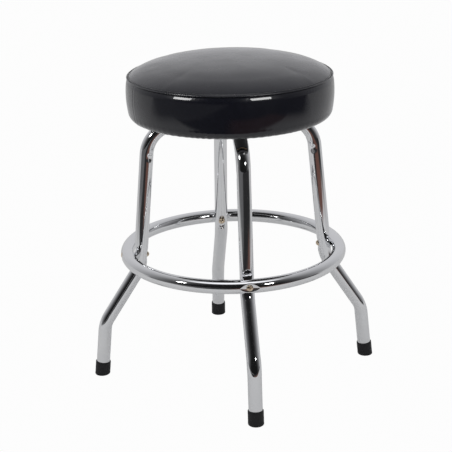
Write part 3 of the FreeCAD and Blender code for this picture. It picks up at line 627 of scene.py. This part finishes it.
def leg_rings():
    """Rings of points down a leg from the hub to the foot, with its pressed marks: a saddle
    above the ring, a nut's dimple on the inside and two pinch marks below the shoulder."""
    foot = (FLOOR_REACH - TIP_FLOOR * math.tan(FOOT_LEAN), TIP_FLOOR)
    corners = [(HUB_FACE, ARM_HEIGHT), SHOULDER, KNEE, ANKLE, foot]
    line, heading, bends = bent_line(corners, BEND, BEND_STEP)
    length = np.concatenate(([0], np.cumsum(np.linalg.norm(np.diff(line, axis=0), axis=1))))
    ring_at = length[np.argmin(np.abs(line[:, 1] - RING_HEIGHT))]
    shoulder_end = length[np.nonzero(np.diff((bends > 0).astype(int)) < 0)[0][0]]
    pinch_at = shoulder_end + PINCH_DROP
    run = np.unique(np.concatenate((
        np.arange(0, length[-1], LEG_STEP), length[bends > 0], length[-1:],
        np.arange(ring_at - 0.03, ring_at + 0.02, SADDLE_STEP),
        np.arange(pinch_at - 2 * PINCH_SIZE, pinch_at + 2 * PINCH_SIZE, PINCH_STEP))).round(4))
    reach, height = np.interp(run, length, line[:, 0]), np.interp(run, length, line[:, 1])
    heading, bends = np.interp(run, length, heading), np.interp(run, length, bends)
    up_leg = (ring_at - run)[:, None]
    turn = np.linspace(0, 2 * math.pi, AROUND, endpoint=False)[None]
    out = TUBE * np.cos(turn) * (1 - BEND_FLATTENING * bends[:, None])
    across = TUBE * np.sin(turn) * (1 + BEND_WIDENING * bends[:, None])

    saddle = lens(up_leg - SADDLE_RISE, SADDLE_LENGTH, SADDLE_WIDTH, 0.6)
    pressed = flattened(across, out, saddle, SADDLE_HOLLOW)
    for i, j in zip(*np.nonzero(pressed < out - 0.0002)):
        crumple = smooth_noise((up_leg[i, 0], across[i, j], 0.0), CRUMPLE_SIZE, 5.0)
        pressed[i, j] += SADDLE_CRUMPLE * crumple
    mark = lens(up_leg, NUT_MARK_LENGTH, NUT_MARK_WIDTH, 0.35)
    out = -flattened(across, -pressed, mark, NUT_MARK_HOLLOW)
    for side in (-1, 1):
        around = (turn - side * PINCH_ANGLE + math.pi) % (2 * math.pi) - math.pi
        away = np.hypot((run[:, None] - pinch_at) / PINCH_STRETCH, around * TUBE) / PINCH_SIZE
        dent = PINCH_DEPTH * np.clip(1 - away * away, 0, None) ** 1.5
        out = out - dent * np.cos(turn)
        across = across - dent * np.sin(turn)
    points_reach = reach[:, None] - np.sin(heading)[:, None] * out
    points_height = height[:, None] + np.cos(heading)[:, None] * out
    return np.stack((points_reach, -across, points_height), -1)


def tip_rings():
    """Rings of a rubber cup round a leg's foot: a lip, a plain side and a round bottom edge,
    square to the foot at the top and level at the floor."""
    outer = TUBE + TIP_WALL
    outline = [(TUBE - 0.0006, TIP_HEIGHT - 0.003), (TUBE - 0.0002, TIP_HEIGHT),
               (TUBE + 0.0009, TIP_HEIGHT), (outer - 0.0001, TIP_HEIGHT - 0.0004),
               (outer, TIP_HEIGHT - 0.0010), (outer - 0.0001, TIP_HEIGHT - 0.0018)]
    outline += [(outer + 0.0001, h) for h in np.linspace(TIP_HEIGHT - 0.0022, 0.0045, 14)]
    for a in np.linspace(0, math.pi / 2, 7):
        outline.append((outer + 0.0003 - TIP_EDGE * (1 - math.cos(a)),
                        TIP_EDGE * (1 - math.sin(a))))
    outline += [(outer - 0.005, 0.0), (outer - 0.0056, 0.0007), (0.004, 0.0007)]
    turn = np.linspace(0, 2 * math.pi, AROUND, endpoint=False)
    rings = []
    for radius, height in outline:
        lean = FOOT_LEAN * min(1.0, max(0.0, (height - 0.004) / (TIP_HEIGHT - 0.004)))
        centre = FLOOR_REACH - height * math.tan(FOOT_LEAN)
        side = radius * np.cos(turn)
        rings.append(np.stack((centre + side * math.cos(lean), radius * np.sin(turn),
                               height + side * math.sin(lean)), -1))
    return np.array(rings)[::-1]


EYE_LENGTH = 0.0168          # the eye-shaped mark pressed into the ring round each bolt
EYE_WIDTH = 0.0082
EYE_HOLLOW = 0.0008
RING_AROUND = 96
FIXING_AROUND = 32
HEAD_RISE = 0.0035
HEAD_SOCKET = 0.0017
NUT_RISE = 0.0058


def ring_rings():
    """The footrest tube, pressed in on the outside round each bolt."""
    near = EYE_LENGTH * 1.15 / (RING + TUBE)
    quarter = np.concatenate((np.linspace(-near, near, 56, endpoint=False),
                              np.linspace(near, math.pi / 2 - near, 76, endpoint=False)))
    turn = np.concatenate([quarter + k * math.pi / 2 for k in range(4)])
    from_bolt = (turn + math.pi / 4) % (math.pi / 2) - math.pi / 4
    along = (from_bolt * (RING + TUBE))[:, None]
    around = np.linspace(0, 2 * math.pi, RING_AROUND, endpoint=False)[None]
    out = TUBE * np.cos(around) * np.ones_like(along)
    rise = -TUBE * np.sin(around) * np.ones_like(along)
    out = flattened(rise, out, lens(along, EYE_LENGTH, EYE_WIDTH, 0.75), EYE_HOLLOW)
    reach = RING + out
    return np.stack((reach * np.cos(turn)[:, None], reach * np.sin(turn)[:, None],
                     RING_HEIGHT + rise), -1)


def dome(radius, base, rise, socket=0.0, out=1.0):
    """Outline of a round head: a thin flange, a low step and a dome, with an optional
    driving socket in its top, as (radius, reach)."""
    points = [(0.0005, -0.0015), (radius, -0.0015), (radius, 0.0), (radius * 0.985, 0.0006),
              (radius * 0.90, 0.0009)]
    last = math.acos(max(0.1, socket / (radius * 0.88)))
    for a in np.linspace(0.15, last, 10):
        points.append((radius * 0.88 * math.cos(a), 0.0009 + (rise - 0.0009) * math.sin(a)))
    if socket:
        points += [(socket * 0.92, rise - 0.0006), (socket * 0.85, rise - 0.0020),
                   (0.0003, rise - 0.0022)]
    return [(r, base + h * out) for r, h in points]


def add_fixings():
    """Bolt heads outside the ring and acorn nuts inside the legs, one pair at each leg."""
    eye_floor = RING + math.sqrt(TUBE ** 2 - EYE_WIDTH ** 2) - EYE_HOLLOW
    slope = (SHOULDER[0] - KNEE[0]) / (ARM_HEIGHT - KNEE[1])
    leg_line = KNEE[0] + (RING_HEIGHT - KNEE[1]) * slope
    mark_floor = leg_line - math.sqrt(TUBE ** 2 - NUT_MARK_WIDTH ** 2) + NUT_MARK_HOLLOW
    kinds = (
        ("bolt_heads", dome(HEAD_RADIUS, eye_floor + 0.0004, HEAD_RISE, HEAD_SOCKET), "ring_bolts"),
        ("acorn_nuts", dome(NUT_RADIUS, mark_floor - 0.0012, NUT_RISE, out=-1.0),
         "ring_cap_nuts"),
    )
    for name, outline, node_name in kinds:
        points, faces = [], []
        for angle in LEG_ANGLES.values():
            a = math.radians(angle)
            rings = lathe(outline, FIXING_AROUND, (0, 0, RING_HEIGHT),
                          (math.cos(a), math.sin(a), 0))
            if name == "acorn_nuts":
                rings = rings[::-1]
            faces += capped(rings, start=len(points) * FIXING_AROUND)
            points.extend(rings)
        add_piece(name, points, faces, NICKEL, "base", [node_name], 40)


def add_base():
    """The four legs with their rubber tips, the footrest ring and the ring's fixings."""
    legs, tips = leg_rings(), tip_rings()
    for side, angle in LEG_ANGLES.items():
        leg = turned(legs, angle)
        add_piece("tube_" + side, leg, capped(leg), CHROME, "base", ["leg_" + side],
                  60)
        tip = turned(tips, angle)
        add_piece("rubber_foot_" + side, tip, capped(tip), RUBBER, "base",
                  ["foot_tip_" + side], 50)
    ring = ring_rings()
    faces = grid_faces(*ring.shape[:2], closed_rows=True)
    add_piece("footrest_tube", ring, faces, CHROME, "base", ["footrest_ring"], 60)
    add_fixings()


add_base()


# --- seat ------------------------------------------------------------------------------

TOP_GRID = 88                # points along each side of the top panel's grid
BAND_COLUMNS = 224           # points round the band
AIR_PRESSURE = 4
AIR_STEPS = 20               # frames of cloth simulation
SLACK = 0.002                # how much lower the flat-cut top starts before air fills it
BAND_GIVE = 0.0012           # how far air may push the band out
EVENING = 30                 # passes that even out small wrinkles of the blown-up cloth
SEAM_TUCK = 0.0010           # how far the top panel is drawn in at the seam
BAND_TUCK = 0.0026           # how far the band is drawn in there
BAND_ROLL = 0.009            # height over which the band rounds over below the seam
BAND_ROLL_POWER = 1.3        # above 1, most of the tuck is close to the seam
TURN_IN = 0.002              # radius of the edge where the band turns up inside the hoop
WELT = 0.0010                # radius of the cord in the seam
WELT_SQUEEZE = 0.10          # share of that radius that each stitch takes away
STITCH_COUNT = 336
STITCH_INSET = 0.0032
STITCH_SHARE = 0.36          # half of a stitch, as a share of the stitch spacing
THREAD_RADIUS = 0.00035
PUCKER_COUNT = 150
PUCKER_REACH = 0.02          # puckers fade out within this distance of the seam
PUCKER_DEPTH = 0.00022
SEAM_SINK = 0.0007           # how far the vinyl drops right at the seam
SEAM_SINK_WIDTH = 0.0022
GATHER_COUNT = 90
GATHER_DEPTH = 0.00028
GATHER_HEIGHT = 0.02         # gathers show below this height above the seat's bottom
TOP_RIPPLE = 0.0003
BAND_RIPPLE = 0.00035
JOIN_ANGLE = -162.2          # where the ends of the band meet, in degrees from +X
JOIN_DEPTH = 0.0006
JOIN_WIDTH = 0.0010
JOIN_SWELL = 0.00025         # the doubled vinyl that stands up on both sides of the join
JOIN_SWELL_OFFSET = 0.0035
JOIN_SWELL_WIDTH = 0.0022


def crown_outline(count):
    """The top panel from the middle to the seam, as (radius, height)."""
    bend = (SHOULDER_RADIUS ** 2 + (CROWN_HEIGHT - SHOULDER_HEIGHT) ** 2) / (
        2 * (CROWN_HEIGHT - SHOULDER_HEIGHT))
    crown = arc((0.0, CROWN_HEIGHT), (SHOULDER_RADIUS, SHOULDER_HEIGHT), bend, count)
    edge = arc((SHOULDER_RADIUS, SHOULDER_HEIGHT), (SEAM_RADIUS, SEAM_HEIGHT),
               SHOULDER_BEND, count // 2)
    return np.concatenate((crown, edge[1:]))


def crown_height(radius):
    """Height of the top panel at a distance from the middle."""
    outline = crown_outline(80)
    return np.interp(radius, outline[:, 0], outline[:, 1])


def inflate(piece, grid, pinned, most):
    """Blows a cloth piece up by air pressure, holding the pinned points, and lets no point
    move farther than most. The points form a grid, over which the movement is evened out."""
    group = piece.vertex_groups.new(name="held")
    group.add(pinned, 1.0, "REPLACE")
    start = np.array([v.co for v in piece.data.vertices])
    cloth = piece.modifiers.new("air", "CLOTH")
    cloth.settings.vertex_group_mass = "held"
    cloth.settings.quality = 6
    cloth.settings.mass = 0.25
    cloth.settings.tension_stiffness = 12
    cloth.settings.compression_stiffness = 12
    cloth.settings.shear_stiffness = 6
    cloth.settings.bending_stiffness = 0.8
    cloth.settings.use_pressure = True
    cloth.settings.uniform_pressure_force = AIR_PRESSURE
    cloth.settings.effector_weights.gravity = 0
    cloth.collision_settings.use_collision = False
    for step in range(1, AIR_STEPS + 1):
        scene.frame_set(step)
    settled = piece.evaluated_get(bpy.context.evaluated_depsgraph_get()).data
    end = np.array([v.co for v in settled.vertices])
    piece.modifiers.remove(cloth)
    piece.vertex_groups.clear()
    moved = end - start
    length = np.linalg.norm(moved, axis=1, keepdims=True)
    moved *= np.minimum(1.0, most / np.maximum(length, 1e-9))
    moved = moved.reshape(*grid, 3)
    held = np.zeros(grid, bool)
    held.ravel()[pinned] = True
    for _ in range(EVENING):
        spread = np.pad(moved, ((1, 1), (1, 1), (0, 0)), "edge")
        if grid[1] == BAND_COLUMNS:
            spread[:, 0], spread[:, -1] = spread[:, -2], spread[:, 1]
        moved = (2 * moved + spread[:-2, 1:-1] + spread[2:, 1:-1]
                 + spread[1:-1, :-2] + spread[1:-1, 2:]) / 6
        moved[held] = 0
    ends = start + moved.reshape(-1, 3)
    piece.data.vertices.foreach_set("co", ends.astype(np.float32).ravel())
    scene.frame_set(1)


def apply_modifier(piece, kind, **settings):
    """Runs one modifier on the piece and keeps its result as the mesh."""
    modifier = piece.modifiers.new(kind.lower(), kind)
    for name, value in settings.items():
        setattr(modifier, name, value)
    result = bpy.data.meshes.new_from_object(
        piece.evaluated_get(bpy.context.evaluated_depsgraph_get()))
    piece.modifiers.remove(modifier)
    piece.data = result


def coordinates(piece):
    """The piece's points as an array."""
    points = np.zeros(len(piece.data.vertices) * 3, np.float32)
    piece.data.vertices.foreach_get("co", points)
    return points.reshape(-1, 3).astype(float)


def pucker(points, away):
    """How far each point sinks where the stitches draw the vinyl in, at a distance away
    from the seam."""
    turn = np.arctan2(points[:, 1], points[:, 0])
    sink = np.zeros(len(points))
    for i in np.nonzero(away < PUCKER_REACH)[0]:
        spot = (math.cos(turn[i]), math.sin(turn[i]), 0.0)
        ease = smooth_noise(spot, 0.22, 2.0)
        pull = 0.5 + 0.5 * math.cos(turn[i] * PUCKER_COUNT + 5.0 * ease)
        reach = 0.006 + 0.006 * (0.5 + 0.5 * ease)
        strength = PUCKER_DEPTH * pull * (0.6 + 0.8 * abs(ease))
        sink[i] = strength * math.exp(-((away[i] / reach) ** 2))
        sink[i] += SEAM_SINK * math.exp(-((away[i] / SEAM_SINK_WIDTH) ** 2))
    return sink


def ripple(points, amount):
    """Slow waves in foam-backed vinyl: broad ones with smaller ones on top."""
    return np.array([
        amount * (0.7 * smooth_noise(point, 0.085, 1.0) + 0.3 * smooth_noise(point, 0.03, 4.0))
        for point in points])


def displace(piece, amounts):
    """Moves each point out along its normal."""
    mesh = piece.data
    points = coordinates(piece)
    normals = np.array([v.normal for v in mesh.vertices])
    points += normals * np.asarray(amounts)[:, None]
    mesh.vertices.foreach_set("co", points.astype(np.float32).ravel())
    mesh.update()


def disc_grid(count):
    """Points of a square grid pushed out to a round disc of radius 1, as (x, y)."""
    u, v = np.meshgrid(np.linspace(-1, 1, count), np.linspace(-1, 1, count), indexing="ij")
    wide = np.abs(u) >= np.abs(v)
    size = np.where(wide, u, v)
    other = np.where(wide, v, u)
    turn = math.pi / 4 * other / np.where(np.abs(size) < 1e-9, 1.0, size)
    along, across = size * np.cos(turn), size * np.sin(turn)
    return np.where(wide, along, across), np.where(wide, across, along)


def add_top_panel():
    """The round crowned panel, blown up as cloth held at the seam."""
    x, y = disc_grid(TOP_GRID)
    radius = np.hypot(x, y) * SEAM_RADIUS
    edge = 1 - SEAM_TUCK / SEAM_RADIUS
    z = crown_height(radius) - SLACK * np.cos(radius / SEAM_RADIUS * math.pi / 2)
    points = np.stack((x * SEAM_RADIUS * edge, y * SEAM_RADIUS * edge, z), -1)
    faces = grid_faces(TOP_GRID, TOP_GRID, closed_columns=False)
    faces = [face[::-1] for face in faces]
    piece = add_piece("seat_top", points, faces, BLACK_VINYL, "seat", ["cover_top", "seat_foam"])
    index = np.arange(TOP_GRID * TOP_GRID).reshape(TOP_GRID, TOP_GRID)
    rim = np.concatenate((index[0], index[-1], index[:, 0], index[:, -1]))
    inflate(piece, (TOP_GRID, TOP_GRID), np.unique(rim).tolist(), SLACK)
    apply_modifier(piece, "SUBSURF", levels=1)
    points = coordinates(piece)
    from_seam = SEAM_RADIUS * edge - np.hypot(points[:, 0], points[:, 1])
    fade = np.clip(from_seam / PUCKER_REACH, 0, 1)
    displace(piece, ripple(points, TOP_RIPPLE) * fade - pucker(points, from_seam))
    apply_modifier(piece, "SOLIDIFY", thickness=VINYL, offset=-1.0)


def band_outline():
    """The side panel from the seam down, round the bottom edge and up inside the hoop."""
    corner_top = SEAT_BOTTOM + CORNER
    side = arc((SEAM_RADIUS, SEAM_HEIGHT), (SEAM_RADIUS, corner_top), SIDE_BULGE, 22)
    below = np.clip(1 - (SEAM_HEIGHT - side[:, 1]) / BAND_ROLL, 0, None)
    side[:, 0] -= BAND_TUCK * below ** BAND_ROLL_POWER
    corner = arc((SEAM_RADIUS, corner_top), (SEAM_RADIUS - CORNER, SEAT_BOTTOM), CORNER, 9)
    turn_in = arc((WRAP_RADIUS + TURN_IN, SEAT_BOTTOM), (WRAP_RADIUS, SEAT_BOTTOM + TURN_IN),
                  TURN_IN, 3)
    wrap = [(WRAP_RADIUS, SEAT_BOTTOM + h) for h in np.linspace(0.006, WRAP_HEIGHT, 4)]
    return np.concatenate((side, corner[1:], turn_in, wrap))


def gathers(points):
    """Small folds where the band is pulled under the seat and stapled."""
    folds = np.zeros(len(points))
    for i in np.nonzero(points[:, 2] < SEAT_BOTTOM + GATHER_HEIGHT)[0]:
        turn = math.atan2(points[i, 1], points[i, 0])
        drift = smooth_noise((math.cos(turn), math.sin(turn), 1.0), 0.3, 9.0)
        low = min(1.0, (SEAT_BOTTOM + GATHER_HEIGHT - points[i, 2]) / GATHER_HEIGHT)
        wave = math.sin(turn * GATHER_COUNT + 6.0 * drift) * (0.6 + drift)
        folds[i] = GATHER_DEPTH * low * wave
    return folds


def join_seam(points):
    """A sunk line down the band where its two ends are sewn together."""
    turn = np.arctan2(points[:, 1], points[:, 0])
    off = (turn - math.radians(JOIN_ANGLE) + math.pi) % (2 * math.pi) - math.pi
    across = np.abs(off) * SEAM_RADIUS
    swell = JOIN_SWELL * np.exp(-(((across - JOIN_SWELL_OFFSET) / JOIN_SWELL_WIDTH) ** 2))
    return swell - JOIN_DEPTH * np.exp(-((across / JOIN_WIDTH) ** 2))


def add_band():
    """The side panel, blown up as cloth held at the seam and under the seat."""
    outline = band_outline()[::-1]
    rings = lathe(outline, BAND_COLUMNS)
    piece = add_piece("seat_band", rings, grid_faces(*rings.shape[:2]), BLACK_VINYL, "seat",
                      ["cover_band", "side_foam"])
    index = np.arange(len(outline) * BAND_COLUMNS).reshape(len(outline), BAND_COLUMNS)
    low = np.count_nonzero(outline[:, 1] < SEAT_BOTTOM + CORNER * 0.5)
    held = index[list(range(low)) + [-1]].ravel().tolist()
    inflate(piece, index.shape, held, BAND_GIVE)
    apply_modifier(piece, "SUBSURF", levels=1)
    points = coordinates(piece)
    outside = np.hypot(points[:, 0], points[:, 1]) > WRAP_RADIUS + 0.003
    from_seam = SEAM_HEIGHT - points[:, 2]
    middle = np.clip(from_seam / 0.012, 0, 1) * outside
    sides = (join_seam(points) + ripple(points, BAND_RIPPLE)) * middle
    displace(piece, sides - pucker(points, from_seam) + gathers(points) * outside)
    apply_modifier(piece, "SOLIDIFY", thickness=VINYL, offset=-1.0)


def add_welt():
    """The thin vinyl cord in the seam, drawn in a little at each stitch."""
    turn = np.linspace(0, 2 * math.pi, STITCH_COUNT * 4, endpoint=False)
    around = -np.linspace(0, 2 * math.pi, 12, endpoint=False)[None]
    radius = WELT * (1 - WELT_SQUEEZE * np.cos(turn * STITCH_COUNT)[:, None])
    reach = SEAM_RADIUS - SEAM_TUCK * 0.5 + radius * np.cos(around)
    rings = np.stack((reach * np.cos(turn)[:, None], reach * np.sin(turn)[:, None],
                      SEAM_HEIGHT + radius * np.sin(around)), -1)
    add_piece("seat_welt", rings, grid_faces(*rings.shape[:2], closed_rows=True), BLACK_VINYL,
              "seat", ["seat_piping"])


def add_stitches():
    """A line of lockstitches just above the welt."""
    columns = 6
    share = np.array((-1.0, -0.8, -0.35, 0.35, 0.8, 1.0))
    thick = THREAD_RADIUS * np.array((0.1, 0.75, 1.0, 1.0, 0.75, 0.1))
    around = np.linspace(0, 2 * math.pi, columns, endpoint=False)
    half = STITCH_SHARE * 2 * math.pi / STITCH_COUNT
    reach = SEAM_RADIUS - STITCH_INSET
    height = float(crown_height(reach)) + THREAD_RADIUS * 0.4
    points, faces = [], []
    for i in range(STITCH_COUNT):
        rings = []
        for s, r in zip(share, thick):
            a = 2 * math.pi * i / STITCH_COUNT + half * s
            sink = THREAD_RADIUS * 1.4 * s ** 4
            rings.append([((reach + r * math.cos(b)) * math.cos(a),
                           (reach + r * math.cos(b)) * math.sin(a),
                           height - sink - r * math.sin(b)) for b in around])
        faces += capped(np.array(rings), start=len(points) * columns)
        points.extend(rings)
    add_piece("seam_stitches", points, faces, THREAD, "seat")


add_top_panel()
add_band()
add_welt()
add_stitches()

# --- light groups ----------------------------------------------------------------------

bpy.context.view_layer.update()
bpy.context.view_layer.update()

share_lights()
